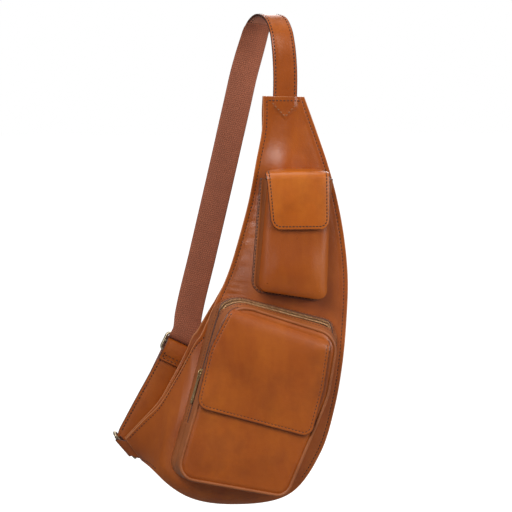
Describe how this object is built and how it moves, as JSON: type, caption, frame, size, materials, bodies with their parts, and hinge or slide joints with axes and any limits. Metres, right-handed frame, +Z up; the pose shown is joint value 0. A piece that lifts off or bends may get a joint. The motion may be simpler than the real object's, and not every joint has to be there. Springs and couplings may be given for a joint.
{
  "type": "sling bag",
  "caption": "Teardrop leather sling bag with a zipped flap pocket, a phone pocket and an adjustable webbing strap, hung by its strap.",
  "frame": {"origin": "inside top of the strap loop, where the bag hangs from a hook", "axes": "+X to the bag's right as seen from the front, +Y towards the wearer's side, +Z up"},
  "size_m": [0.2488, 0.1143, 0.5271],
  "materials": {
    "leather_tan": "glossy vegetable-tanned",
    "leather_flap": "glossy vegetable-tanned",
    "leather_band": "satin",
    "leather_inner": "suede side",
    "lining_cloth": "plain weave",
    "zip_tape": "woven tape",
    "webbing_brown": "twill webbing",
    "zip_metal": "antique",
    "hardware_metal": "antique, semi-gloss",
    "magnet_metal": "satin"
  },
  "bodies": {
    "bag": {"front_panel": "leather_tan", "back_panel": "leather_tan", "front_lining": "lining_cloth", "back_lining": "lining_cloth", "main_zip_tape_front": "zip_tape", "main_zip_tape_back": "zip_tape", "main_zip_teeth": "zip_metal", "main_zip_stops": "zip_metal", "top_strap": "leather_tan", "top_strap_lining": "leather_inner", "webbing": "webbing_brown", "webbing_hem": "webbing_brown", "lower_strap": "leather_tan", "tail_tab": "leather_tan", "pocket_front": "leather_flap", "pocket_gusset": "leather_band", "pocket_zip_band_rear": "leather_band", "pocket_zip_band_front": "leather_band", "pocket_zip_tape": "zip_tape", "pocket_zip_teeth": "zip_metal", "pocket_piping": "leather_band", "pocket_lining": "lining_cloth", "pocket_magnet_female": "magnet_metal", "phone_pocket_front": "leather_flap", "phone_pocket_gusset": "leather_band", "phone_pocket_lining": "lining_cloth", "phone_magnet_female": "magnet_metal"},
    "main_slider": {"main_zip_slider": "zip_metal"},
    "main_puller": {"main_zip_puller": "zip_metal"},
    "adjuster": {"adjuster_buckle": "hardware_metal"},
    "ring": {"lower_ring": "hardware_metal"},
    "pocket_slider": {"pocket_zip_slider": "zip_metal"},
    "pocket_puller": {"pocket_zip_puller": "zip_metal"},
    "pocket_flap_leaf": {"pocket_flap": "leather_flap", "pocket_flap_lining": "leather_inner", "pocket_magnet_male": "magnet_metal"},
    "phone_flap_leaf": {"phone_flap": "leather_flap", "phone_flap_lining": "leather_inner", "phone_magnet_male": "magnet_metal"}
  },
  "joints": [
    {"name": "main_zip_slide", "type": "slide", "parent": "bag", "child": "main_slider", "axis": [-0.1728, 0.0622, -0.983], "range_m": [0, 0.042]},
    {"name": "main_puller_swing", "type": "hinge", "parent": "main_slider", "child": "main_puller", "pos_m": [-0.00587, -0.0231, -0.12476], "axis": [0, 0.998, 0.0632], "range_deg": [0, 110]},
    {"name": "pocket_zip_slide", "type": "slide", "parent": "bag", "child": "pocket_slider", "axis": [0.2744, 0, 0.9616], "range_m": [0, 0.045]},
    {"name": "pocket_puller_swing", "type": "hinge", "parent": "pocket_slider", "child": "pocket_puller", "pos_m": [-0.08079, -0.04881, -0.37741], "axis": [-0.2584, 0.9632, 0.0737], "range_deg": [0, 110]},
    {"name": "pocket_flap_hinge", "type": "hinge", "parent": "bag", "child": "pocket_flap_leaf", "pos_m": [0.00443, -0.06975, -0.32152], "axis": [-0.9451, 0, 0.3268], "range_deg": [0, 120]},
    {"name": "phone_flap_hinge", "type": "hinge", "parent": "bag", "child": "phone_flap_leaf", "pos_m": [0.0243, -0.0335, -0.1634], "axis": [-1, 0, 0], "range_deg": [0, 84]},
    {"name": "adjuster_rock", "type": "hinge", "parent": "bag", "child": "adjuster", "pos_m": [-0.0938, 0.027, -0.3562], "axis": [0.899, 0, -0.438], "range_deg": [-4, 4]},
    {"name": "ring_rock", "type": "hinge", "parent": "bag", "child": "ring", "pos_m": [-0.1522, 0.027, -0.4629], "axis": [0.72, 0, -0.694], "range_deg": [-3, 3]}
  ]
}
